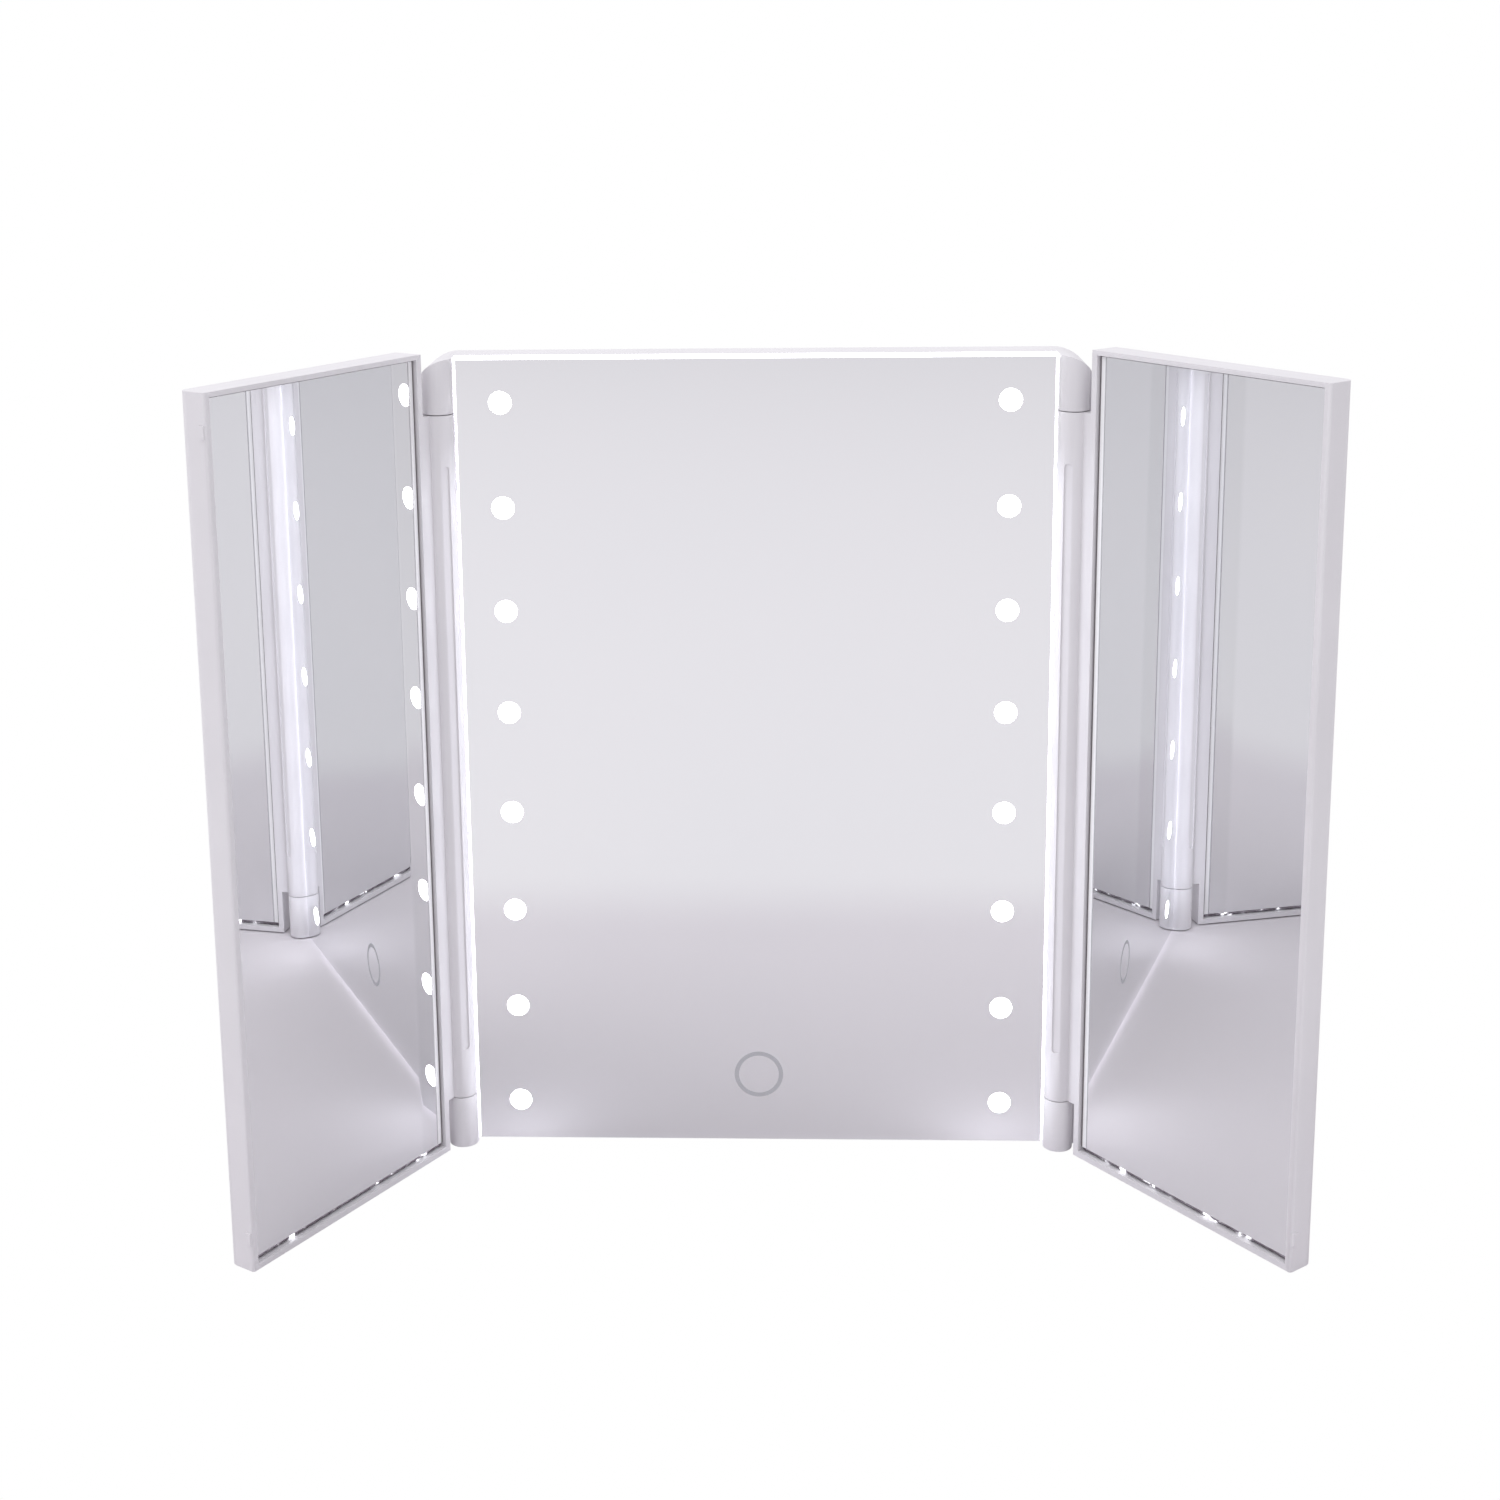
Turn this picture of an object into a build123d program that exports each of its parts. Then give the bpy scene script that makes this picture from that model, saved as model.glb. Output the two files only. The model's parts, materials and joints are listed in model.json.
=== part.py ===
"""Folding three-panel make-up mirror with two columns of touch-dimmed LED windows.

Frame: +Z up, the centre glass faces -Y, X = 0 is the centre line and Z = 0 is the table top.
The dimensions below count Y from the front face of the centre glass; every finished piece is
then moved so that the origin is the middle of the foot strip's underside.
Left and right are as seen from in front.  All dimensions are millimetres.
The wings are drawn part-way open, as the mirror stands in use.
"""

import os
from math import cos, radians, sin

from build123d import *

os.makedirs("parts", exist_ok=True)

# --- housing --------------------------------------------------------------------------------
HOUSING_HALF_WIDTH = 99.3
HOUSING_BOTTOM = 0.5
HOUSING_TOP = 247.9
HOUSING_BACK = 24.0
TOP_CORNER_RADIUS = 11.0
SPLIT_Y = 12.0                 # parting plane between front frame and rear cover
WALL = 2.0
BACK_EDGE_RADIUS = 8.0
FLOOR_BACK = 6.2               # rear side of the front frame's floor

# --- centre glass and light panel -----------------------------------------------------------
GLASS_WIDTH = 174.8
GLASS_HEIGHT = 246.0
GLASS_BOTTOM = 1.2
GLASS_THICKNESS = 2.0
PANEL_HALF_WIDTH = 87.9
PANEL_BACK = 4.2

LED_COUNT = 8                  # windows in each column
LED_PITCH = 31.5
LED_COLUMN_X = 74.5
LED_LOWEST_Z = 14.0
WINDOW_RADIUS = 3.4
STRIP_WIDTH = 8.0
STRIP_THICKNESS = 1.0
STRIP_END = 7.0                # strip beyond its last LED
LED_WIDTH = 2.8
LED_HEIGHT = 3.5
LED_DEPTH = 0.9
CHANNEL_WIDTH = 6.0

RING_Z = 23.0
RING_OUTER = 7.5
RING_LINE = 1.3
RING_DEPTH = 0.3
SENSOR_HOLE_RADIUS = 6.0
BOARD_WIDTH = 28.0
BOARD_HEIGHT = 22.0
BOARD_FRONT = 7.4
BOARD_THICKNESS = 1.2
STANDOFF_X = 11.5
STANDOFF_Z = 8.5
STANDOFF_RADIUS = 1.6
CONTROLLER_SIZE = (6.2, 5.0, 1.6)      # across, up and out of the board
TRANSISTOR_SIZE = (3.0, 2.6, 1.2)
CONNECTOR_SIZE = (7.0, 4.0, 4.2)
CHIP_Z = RING_Z + 3.0
TRANSISTOR_X = 7.5
CONNECTOR_X = 8.0
CONNECTOR_Z = RING_Z - 6.5
SPRING_RADIUS = 3.6
SPRING_WIRE = 0.3
SPRING_PITCH = 1.3
COIL_END_GAP = 1.2             # wire radii from a coil's end to what it presses on

# --- hinges ---------------------------------------------------------------------------------
HINGE_X = 92.5
HINGE_Y = -1.2
KNUCKLE_RADIUS = 4.5
CHANNEL_RADIUS = 4.9           # hollow in the housing round the turning knuckle
WEB_CLEARANCE_Y = 2.4          # housing is cut back to here where the wing's web swings
WEB_CLEARANCE_WIDTH = 10.0
KNUCKLE_BOTTOM = 17.2
KNUCKLE_TOP = 231.5
SEAM = 0.3
PIN_RADIUS = 1.5
PIN_IN_POST = 11.7
PIN_IN_WING = 12.0
PIN_END_GAP = 0.4
BUSH_RADIUS = 2.6
RUNNING_CLEARANCE = 0.06
GROOVE_WIDTH = 2.4
GROOVE_DEPTH = 0.5
GROOVE_BOTTOM = 33.0
GROOVE_TOP = 216.5
GROOVE_ANGLE = 30.0            # from the wing's glass side towards the wing

# --- wings ----------------------------------------------------------------------------------
LEFT_WING_OPENING = 122.0      # degrees from folded shut
RIGHT_WING_OPENING = 127.6
WING_INNER = 7.3               # hinge axis to the wing's near edge
WING_WIDTH = 84.6
WING_BOTTOM = 0.5
WING_TOP = 249.9
WING_FRONT = 0.4               # glass side, in front of the hinge axis
WING_THICKNESS = 9.6
WEB_THICKNESS = 3.4
LIP_HINGE = 2.0
LIP_OUTER = 2.0
LIP_TOP = 1.4
LIP_BOTTOM = 1.9
WING_RECESS = 3.8
WING_GLASS_SETBACK = 1.2
WING_GLASS_THICKNESS = 2.0
WING_GLASS_SIDE_GAP = 0.35
WING_GLASS_BOTTOM_GAP = 1.5
LEDGE = 4.5                    # glue ledge round the lightening pockets
RIB = 6.0
POCKET_DEPTH = 4.4
POCKET_COLUMNS = 2
POCKET_ROWS = 4
TAPE_WIDTH = 4.0
OUTER_EDGE_RADIUS = 3.0
LIP_EDGE_RADIUS = 0.8
NUB_PROUD = 0.5
NUB_ROOT = 0.5
NUB_SETBACK = 0.3
NUB_SIZE = (1.8, 3.6)          # across and up the wing's outer edge
UPPER_NUB_Z = 239.5
LOWER_NUB_Z = 10.5

# --- battery bay, door, switch, screws, feet ------------------------------------------------
CELL_RADIUS = 7.25
CELL_LENGTH = 49.5             # without the positive nub
CELL_NUB_RADIUS = 2.7
CELL_NUB_HEIGHT = 1.0
CELL_COUNT = 4
CELL_PITCH = 15.3
CELL_Y = 14.8
CELL_SHIFT = 2.0               # each cell sits towards its positive contact
BAY_Z = 84.0
BAY_HALF_WIDTH = 29.2
BAY_HALF_HEIGHT = 30.9
BAY_WALL = 1.4
BAY_FLOOR_FRONT = 6.5
BAY_FLOOR_BACK = 7.4
CONTACT_SIZE = 10.0
CONTACT_THICKNESS = 0.5
CONTACT_GAP = 0.05
CONTACT_BOSS_RADIUS = 2.0
CELL_SPRING_RADIUS = 3.2
CELL_SPRING_WIRE = 0.45
CELL_SPRING_PITCH = 1.6
DOOR_LEDGE_BACK = 22.0
DOOR_LEDGE = 1.6
DOOR_FRONT = 22.35
DOOR_OVERLAP = 3.0
DOOR_CLEARANCE = 0.35
DOOR_CORNER_RADIUS = 2.0
THUMB_RECESS_RADIUS = 6.0
THUMB_RECESS_DEPTH = 0.6
GRIP_PITCH = 3.0
GRIP_COUNT = 3
GRIP_WIDTH = 7.0
GRIP_HEIGHT = 0.8

SCREW_X = 62.0
SCREW_ROWS = (22.0, 124.0, 226.0)
BOSS_RADIUS = 3.6
PILOT_RADIUS = 1.3
SCREW_RADIUS = 1.25
SCREW_HEAD_RADIUS = 2.6
SCREW_HEAD_HEIGHT = 1.6
SCREW_SEAT_Y = 20.0
SCREW_LENGTH = 12.0
SCREW_WELL_RADIUS = 2.9
CROSS_LENGTH = 2.8
CROSS_WIDTH = 0.7

SWITCH_X = 55.0
SWITCH_Z = 84.0
SWITCH_TRAVEL = 3.0
SWITCH_BODY_WIDTH = 9.0
SWITCH_BODY_HEIGHT = 19.0
SWITCH_BODY_BACK = 21.8
SWITCH_BODY_DEPTH = 4.5
KNOB_WIDTH = 3.6
KNOB_HEIGHT = 4.6
KNOB_FRONT = 22.15
KNOB_BACK = 25.0
KNOB_EDGE_RADIUS = 0.4
SLOT_CLEARANCE = 0.4

FOOT_LENGTH = 150.0            # non-slip strip stuck across the seam of the underside
FOOT_WIDTH = 13.0
FOOT_RECESS = 0.6
FOOT_CLEARANCE = 0.05
MERGE = 0.1                    # how far one region runs into the next to become one solid

WIRE_RADIUS = 0.7
STRIP_WIRE_BEND = (38.0, 13.0, 11.0)
STRIP_WIRE_END = (69.0, 8.7, 10.5)
BAY_WIRE_BEND = (-24.0, 15.0, 34.0)
BAY_WIRE_END = (-34.0, 15.0, 56.0)
SWITCH_WIRE_START = (35.0, 14.6, 66.0)
SWITCH_WIRE_BEND = (42.0, 14.5, 72.0)
SWITCH_WIRE_END = (51.0, 15.2, 80.0)

GLASS_MID_Z = GLASS_BOTTOM + GLASS_HEIGHT / 2
HOUSING_HEIGHT = HOUSING_TOP - HOUSING_BOTTOM
HOUSING_MID_Z = (HOUSING_TOP + HOUSING_BOTTOM) / 2
LED_SPAN = LED_PITCH * (LED_COUNT - 1)
LED_MID_Z = LED_LOWEST_Z + LED_SPAN / 2
SCREW_SPOTS = [(s * SCREW_X, z) for s in (-1, 1) for z in SCREW_ROWS]
STANDOFF_SPOTS = [(sx * STANDOFF_X, RING_Z + sz * STANDOFF_Z) for sx in (-1, 1) for sz in (-1, 1)]
SIGN = {"left": -1, "right": 1}
OPENING = {"left": LEFT_WING_OPENING, "right": RIGHT_WING_OPENING}


def save(part, name):
    """Move a finished piece to the foot strip's origin, label it and write it out."""
    placed = Pos(0, -SPLIT_Y, 0) * part
    placed.label = name
    export_step(placed, f"parts/{name}.step")


def upright(y):
    """Upright plane at depth y: sketch X is X, sketch Y is Z, and -amount extrudes backwards."""
    return Plane.XZ.offset(-y)


def housing_outline(inset):
    """Front outline of the housing: round upper corners and square lower ones."""
    with BuildSketch(mode=Mode.PRIVATE) as outline:
        with Locations((0, HOUSING_MID_Z)):
            Rectangle(2 * (HOUSING_HALF_WIDTH - inset), HOUSING_HEIGHT - 2 * inset)
        fillet(outline.vertices().group_by(Axis.Y)[-1], TOP_CORNER_RADIUS - inset)
    return outline.sketch


def wing_plane(side, z):
    """Level plane on a hinge axis: sketch X runs out along the wing."""
    fold = radians(180 - OPENING[side])
    sign = SIGN[side]
    return Plane(
        origin=(sign * HINGE_X, HINGE_Y, z), x_dir=(sign * cos(fold), -sin(fold), 0), z_dir=(0, 0, 1)
    )


def wing_side(side, n):
    """Sketch Y in a wing plane for the distance n out of the wing's glass side."""
    return -SIGN[side] * n


def wing_rectangle(side, inner, outer, back, front):
    """Rectangle in a wing plane between two distances out and two distances from the axis."""
    with Locations(((inner + outer) / 2, wing_side(side, (back + front) / 2))):
        Rectangle(outer - inner, front - back)


# --- front frame: floor, walls and the fixed hinge posts ------------------------------------
POST_INNER = PANEL_HALF_WIDTH + 0.2
POST_WIDTH = HOUSING_HALF_WIDTH - POST_INNER
HINGE_SPOTS = [(s * HINGE_X, HINGE_Y) for s in (-1, 1)]

with BuildPart() as hinge_posts:
    with BuildSketch(Plane.XY.offset(HOUSING_BOTTOM)):
        with Locations(*HINGE_SPOTS):
            Circle(KNUCKLE_RADIUS)
        with Locations(*[(s * (POST_INNER + POST_WIDTH / 2), SPLIT_Y / 4) for s in (-1, 1)]):
            Rectangle(POST_WIDTH, SPLIT_Y / 2)
    extrude(amount=HOUSING_HEIGHT)
    with BuildSketch(upright(HINGE_Y - KNUCKLE_RADIUS)):
        add(housing_outline(0))
    extrude(amount=-(SPLIT_Y + KNUCKLE_RADIUS), mode=Mode.INTERSECT)

with BuildPart() as foot_recess:
    with BuildSketch(Plane.XY.offset(HOUSING_BOTTOM)):
        with Locations((0, SPLIT_Y)):
            SlotOverall(FOOT_LENGTH, FOOT_WIDTH)
    extrude(amount=FOOT_RECESS)

with BuildPart() as front_frame:
    with BuildSketch(upright(PANEL_BACK)):
        add(housing_outline(0))
    extrude(amount=-(SPLIT_Y - PANEL_BACK))
    with BuildSketch(upright(FLOOR_BACK)):
        add(housing_outline(WALL))
    extrude(amount=-(SPLIT_Y - FLOOR_BACK), mode=Mode.SUBTRACT)
    add(hinge_posts.part)
    # room for each turning knuckle and the web that joins it to its wing
    with BuildSketch(Plane.XY.offset(KNUCKLE_BOTTOM - SEAM)):
        with Locations(*HINGE_SPOTS):
            Circle(CHANNEL_RADIUS)
        web_bottom = HINGE_Y - CHANNEL_RADIUS
        web_depth = WEB_CLEARANCE_Y - web_bottom
        web_x = HINGE_X + WEB_CLEARANCE_WIDTH / 2
        with Locations(*[(s * web_x, web_bottom + web_depth / 2) for s in (-1, 1)]):
            Rectangle(WEB_CLEARANCE_WIDTH, web_depth)
    extrude(amount=KNUCKLE_TOP - KNUCKLE_BOTTOM + 2 * SEAM, mode=Mode.SUBTRACT)
    # holes for the hinge pins
    with BuildSketch(Plane.XY.offset(KNUCKLE_BOTTOM - SEAM - PIN_IN_POST)):
        with Locations(*HINGE_SPOTS):
            Circle(PIN_RADIUS)
    extrude(amount=PIN_IN_POST, mode=Mode.SUBTRACT)
    with BuildSketch(Plane.XY.offset(KNUCKLE_TOP + SEAM)):
        with Locations(*HINGE_SPOTS):
            Circle(PIN_RADIUS)
    extrude(amount=PIN_IN_POST, mode=Mode.SUBTRACT)
    # light channels behind the two window columns, and the sensor hole
    with BuildSketch(upright(PANEL_BACK)):
        with Locations((-LED_COLUMN_X, LED_MID_Z), (LED_COLUMN_X, LED_MID_Z)):
            Rectangle(CHANNEL_WIDTH, LED_SPAN + CHANNEL_WIDTH)
        with Locations((0, RING_Z)):
            Circle(SENSOR_HOLE_RADIUS)
    extrude(amount=-(FLOOR_BACK - PANEL_BACK), mode=Mode.SUBTRACT)
    # screw posts and board stand-offs
    with BuildSketch(upright(FLOOR_BACK)):
        with Locations(*SCREW_SPOTS):
            Circle(BOSS_RADIUS)
            Circle(PILOT_RADIUS, mode=Mode.SUBTRACT)
    extrude(amount=-(SPLIT_Y - FLOOR_BACK))
    with BuildSketch(upright(FLOOR_BACK)):
        with Locations(*STANDOFF_SPOTS):
            Circle(STANDOFF_RADIUS)
    extrude(amount=-(BOARD_FRONT - FLOOR_BACK))
    # front half of the foot strip's recess
    add(foot_recess.part, mode=Mode.SUBTRACT)
save(front_frame.part, "front_frame")

# --- rear cover with its battery bay --------------------------------------------------------
with BuildPart() as cover_hollow:
    with BuildSketch(upright(SPLIT_Y)):
        add(housing_outline(WALL))
    extrude(amount=-(HOUSING_BACK - WALL - SPLIT_Y))
    rim = cover_hollow.faces().sort_by(Axis.Y)[-1].edges().sort_by(Axis.Z)[1:]
    fillet(rim, BACK_EDGE_RADIUS - WALL)

DOOR_HALF_WIDTH = BAY_HALF_WIDTH + DOOR_OVERLAP
DOOR_HALF_HEIGHT = BAY_HALF_HEIGHT + DOOR_OVERLAP

with BuildPart() as rear_cover:
    with BuildSketch(upright(SPLIT_Y)):
        add(housing_outline(0))
    extrude(amount=-(HOUSING_BACK - SPLIT_Y))
    rim = rear_cover.faces().sort_by(Axis.Y)[-1].edges().sort_by(Axis.Z)[1:]
    fillet(rim, BACK_EDGE_RADIUS)
    add(cover_hollow.part, mode=Mode.SUBTRACT)
    # walls and ledge of the battery bay
    with BuildSketch(upright(BAY_FLOOR_FRONT)):
        with Locations((0, BAY_Z)):
            Rectangle(2 * (BAY_HALF_WIDTH + BAY_WALL), 2 * (BAY_HALF_HEIGHT + BAY_WALL))
    extrude(amount=-(DOOR_LEDGE_BACK - BAY_FLOOR_FRONT))
    with BuildSketch(upright(DOOR_LEDGE_BACK - DOOR_LEDGE)):
        with Locations((0, BAY_Z)):
            Rectangle(2 * (DOOR_HALF_WIDTH + WALL), 2 * (DOOR_HALF_HEIGHT + WALL))
    extrude(amount=-(DOOR_LEDGE + MERGE))
    with BuildSketch(upright(BAY_FLOOR_BACK)):
        with Locations((0, BAY_Z)):
            Rectangle(2 * BAY_HALF_WIDTH, 2 * BAY_HALF_HEIGHT)
    extrude(amount=-(HOUSING_BACK - BAY_FLOOR_BACK), mode=Mode.SUBTRACT)
    with BuildSketch(upright(DOOR_LEDGE_BACK)):
        with Locations((0, BAY_Z)):
            RectangleRounded(
                2 * (DOOR_HALF_WIDTH + DOOR_CLEARANCE),
                2 * (DOOR_HALF_HEIGHT + DOOR_CLEARANCE),
                DOOR_CORNER_RADIUS + DOOR_CLEARANCE,
            )
    extrude(amount=-(HOUSING_BACK - DOOR_LEDGE_BACK), mode=Mode.SUBTRACT)
    # screw bosses with sunken wells
    with BuildSketch(upright(SPLIT_Y)):
        with Locations(*SCREW_SPOTS):
            Circle(BOSS_RADIUS)
    extrude(amount=-(HOUSING_BACK - WALL / 2 - SPLIT_Y))
    with BuildSketch(upright(SPLIT_Y)):
        with Locations(*SCREW_SPOTS):
            Circle(PILOT_RADIUS)
    extrude(amount=-(HOUSING_BACK - SPLIT_Y), mode=Mode.SUBTRACT)
    with BuildSketch(upright(SCREW_SEAT_Y)):
        with Locations(*SCREW_SPOTS):
            Circle(SCREW_WELL_RADIUS)
    extrude(amount=-(HOUSING_BACK - SCREW_SEAT_Y), mode=Mode.SUBTRACT)
    # slot the power switch's knob slides in
    with BuildSketch(upright(HOUSING_BACK - WALL)):
        with Locations((SWITCH_X, SWITCH_Z)):
            Rectangle(
                KNOB_WIDTH + 2 * SLOT_CLEARANCE, KNOB_HEIGHT + SWITCH_TRAVEL + 2 * SLOT_CLEARANCE
            )
    extrude(amount=-WALL, mode=Mode.SUBTRACT)
    # rear half of the foot strip's recess
    add(foot_recess.part, mode=Mode.SUBTRACT)
save(rear_cover.part, "rear_cover")

# --- centre glass, frosted windows and touch ring -------------------------------------------
WINDOW_SPOTS = [
    (s * LED_COLUMN_X, LED_LOWEST_Z + i * LED_PITCH) for s in (-1, 1) for i in range(LED_COUNT)
]

with BuildPart() as centre_glass:
    with BuildSketch(upright(0)):
        with Locations((0, GLASS_MID_Z)):
            Rectangle(GLASS_WIDTH, GLASS_HEIGHT)
        with Locations(*WINDOW_SPOTS):
            Circle(WINDOW_RADIUS, mode=Mode.SUBTRACT)
    extrude(amount=-GLASS_THICKNESS)
    with BuildSketch(upright(0)):
        with Locations((0, RING_Z)):
            Circle(RING_OUTER)
            Circle(RING_OUTER - RING_LINE, mode=Mode.SUBTRACT)
    extrude(amount=-RING_DEPTH, mode=Mode.SUBTRACT)
save(centre_glass.part, "centre_glass")

with BuildPart() as led_windows:
    with BuildSketch(upright(0)):
        with Locations(*WINDOW_SPOTS):
            Circle(WINDOW_RADIUS)
    extrude(amount=-GLASS_THICKNESS)
save(led_windows.part, "led_windows")

with BuildPart() as touch_ring:
    with BuildSketch(upright(0)):
        with Locations((0, RING_Z)):
            Circle(RING_OUTER)
            Circle(RING_OUTER - RING_LINE, mode=Mode.SUBTRACT)
    extrude(amount=-RING_DEPTH)
save(touch_ring.part, "touch_ring")

with BuildPart() as light_panel:
    with BuildSketch(upright(GLASS_THICKNESS)):
        with Locations((0, HOUSING_MID_Z)):
            Rectangle(2 * PANEL_HALF_WIDTH, HOUSING_HEIGHT)
        with Locations((0, RING_Z)):
            Circle(SENSOR_HOLE_RADIUS, mode=Mode.SUBTRACT)
    extrude(amount=-(PANEL_BACK - GLASS_THICKNESS))
save(light_panel.part, "light_panel")

# --- LED strips -----------------------------------------------------------------------------
for side, sign in SIGN.items():
    with BuildPart() as strip:
        with BuildSketch(upright(FLOOR_BACK)):
            with Locations((sign * LED_COLUMN_X, LED_MID_Z)):
                Rectangle(STRIP_WIDTH, LED_SPAN + 2 * STRIP_END)
        extrude(amount=-STRIP_THICKNESS)
    save(strip.part, f"{side}_led_strip")

    with BuildPart() as leds:
        with BuildSketch(upright(FLOOR_BACK - LED_DEPTH)):
            with Locations((sign * LED_COLUMN_X, LED_MID_Z)):
                with GridLocations(1, LED_PITCH, 1, LED_COUNT):
                    Rectangle(LED_WIDTH, LED_HEIGHT)
        extrude(amount=-LED_DEPTH)
    save(leds.part, f"{side}_leds")

# --- touch board, its parts and the sensing spring ------------------------------------------
BOARD_BACK = BOARD_FRONT + BOARD_THICKNESS

with BuildPart() as touch_board:
    with BuildSketch(upright(BOARD_FRONT)):
        with Locations((0, RING_Z)):
            Rectangle(BOARD_WIDTH, BOARD_HEIGHT)
    extrude(amount=-BOARD_THICKNESS)
save(touch_board.part, "touch_board")

with BuildPart() as board_parts:
    # controller, two drive transistors and two wire connectors
    for spots, (width, height, depth) in (
        ([(0, CHIP_Z)], CONTROLLER_SIZE),
        ([(-TRANSISTOR_X, CHIP_Z), (TRANSISTOR_X, CHIP_Z)], TRANSISTOR_SIZE),
        ([(-CONNECTOR_X, CONNECTOR_Z), (CONNECTOR_X, CONNECTOR_Z)], CONNECTOR_SIZE),
    ):
        with BuildSketch(upright(BOARD_BACK)):
            with Locations(*spots):
                Rectangle(width, height)
        extrude(amount=-depth)
save(board_parts.part, "board_parts")


def coil(radius, wire, pitch, length, start, direction):
    """Open coil spring of round wire, between two points on its axis."""
    with BuildPart() as spring:
        with BuildLine() as path:
            Helix(pitch=pitch, height=length, radius=radius, center=start, direction=direction)
        with BuildSketch(path.line ^ 0):
            Circle(wire)
        sweep(is_frenet=True)
    return spring.part


touch_gap = COIL_END_GAP * SPRING_WIRE
touch_spring = coil(
    SPRING_RADIUS,
    SPRING_WIRE,
    SPRING_PITCH,
    BOARD_FRONT - GLASS_THICKNESS - 2 * touch_gap,
    (0, GLASS_THICKNESS + touch_gap, RING_Z),
    (0, 1, 0),
)
save(touch_spring, "touch_spring")

# --- cells, contacts and springs ------------------------------------------------------------
# the cells lie across the bay, turned end for end in alternate rows
CELL_ROWS = [
    (BAY_Z + (i - (CELL_COUNT - 1) / 2) * CELL_PITCH, 1 if i % 2 else -1) for i in range(CELL_COUNT)
]
NEGATIVE_END = (CELL_LENGTH + CELL_NUB_HEIGHT) / 2 - CELL_SHIFT
POSITIVE_END = (CELL_LENGTH + CELL_NUB_HEIGHT) / 2 + CELL_SHIFT
PLATE_X = BAY_HALF_WIDTH - CONTACT_THICKNESS

with BuildPart() as battery_cells:
    for z, way in CELL_ROWS:
        with BuildSketch(Plane.YZ.offset(-way * NEGATIVE_END)):
            with Locations((CELL_Y, z)):
                Circle(CELL_RADIUS)
        extrude(amount=way * CELL_LENGTH)
        with BuildSketch(Plane.YZ.offset(way * (POSITIVE_END - CELL_NUB_HEIGHT))):
            with Locations((CELL_Y, z)):
                Circle(CELL_NUB_RADIUS)
        extrude(amount=way * CELL_NUB_HEIGHT)
save(battery_cells.part, "battery_cells")

with BuildPart() as battery_contacts:
    for z, way in CELL_ROWS:
        for end in (-1, 1):
            with BuildSketch(Plane.YZ.offset(end * PLATE_X)):
                with Locations((CELL_Y, z)):
                    Rectangle(CONTACT_SIZE, CONTACT_SIZE)
            extrude(amount=end * CONTACT_THICKNESS)
        with BuildSketch(Plane.YZ.offset(way * (POSITIVE_END + CONTACT_GAP))):
            with Locations((CELL_Y, z)):
                Circle(CONTACT_BOSS_RADIUS)
        extrude(amount=way * (PLATE_X - POSITIVE_END - CONTACT_GAP))
save(battery_contacts.part, "battery_contacts")

spring_gap = COIL_END_GAP * CELL_SPRING_WIRE
battery_springs = Compound(
    children=[
        coil(
            CELL_SPRING_RADIUS,
            CELL_SPRING_WIRE,
            CELL_SPRING_PITCH,
            PLATE_X - NEGATIVE_END - 2 * spring_gap,
            (-way * (NEGATIVE_END + spring_gap), CELL_Y, z),
            (-way, 0, 0),
        )
        for z, way in CELL_ROWS
    ]
)
save(battery_springs, "battery_springs")

# --- battery door ---------------------------------------------------------------------------
with BuildPart() as battery_door:
    with BuildSketch(upright(DOOR_FRONT)):
        with Locations((0, BAY_Z)):
            RectangleRounded(2 * DOOR_HALF_WIDTH, 2 * DOOR_HALF_HEIGHT, DOOR_CORNER_RADIUS)
    extrude(amount=-(HOUSING_BACK - DOOR_FRONT))
    thumb_z = BAY_Z + DOOR_HALF_HEIGHT - 2 * THUMB_RECESS_RADIUS
    with BuildSketch(upright(HOUSING_BACK - THUMB_RECESS_DEPTH)):
        with Locations((0, thumb_z)):
            Circle(THUMB_RECESS_RADIUS)
    extrude(amount=-THUMB_RECESS_DEPTH, mode=Mode.SUBTRACT)
    with BuildSketch(upright(HOUSING_BACK - THUMB_RECESS_DEPTH)):
        with Locations((0, thumb_z)):
            with GridLocations(1, GRIP_PITCH, 1, GRIP_COUNT):
                Rectangle(GRIP_WIDTH, GRIP_HEIGHT)
    extrude(amount=-THUMB_RECESS_DEPTH)
save(battery_door.part, "battery_door")

# --- power switch ---------------------------------------------------------------------------
with BuildPart() as switch_body:
    with BuildSketch(upright(SWITCH_BODY_BACK - SWITCH_BODY_DEPTH)):
        with Locations((SWITCH_X, SWITCH_Z)):
            Rectangle(SWITCH_BODY_WIDTH, SWITCH_BODY_HEIGHT)
    extrude(amount=-SWITCH_BODY_DEPTH)
save(switch_body.part, "switch_body")

with BuildPart() as switch_knob:
    with BuildSketch(upright(KNOB_FRONT)):
        with Locations((SWITCH_X, SWITCH_Z + SWITCH_TRAVEL / 2)):
            Rectangle(KNOB_WIDTH, KNOB_HEIGHT)
    extrude(amount=-(KNOB_BACK - KNOB_FRONT))
    fillet(switch_knob.faces().sort_by(Axis.Y)[-1].edges(), KNOB_EDGE_RADIUS)
save(switch_knob.part, "switch_knob")

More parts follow.
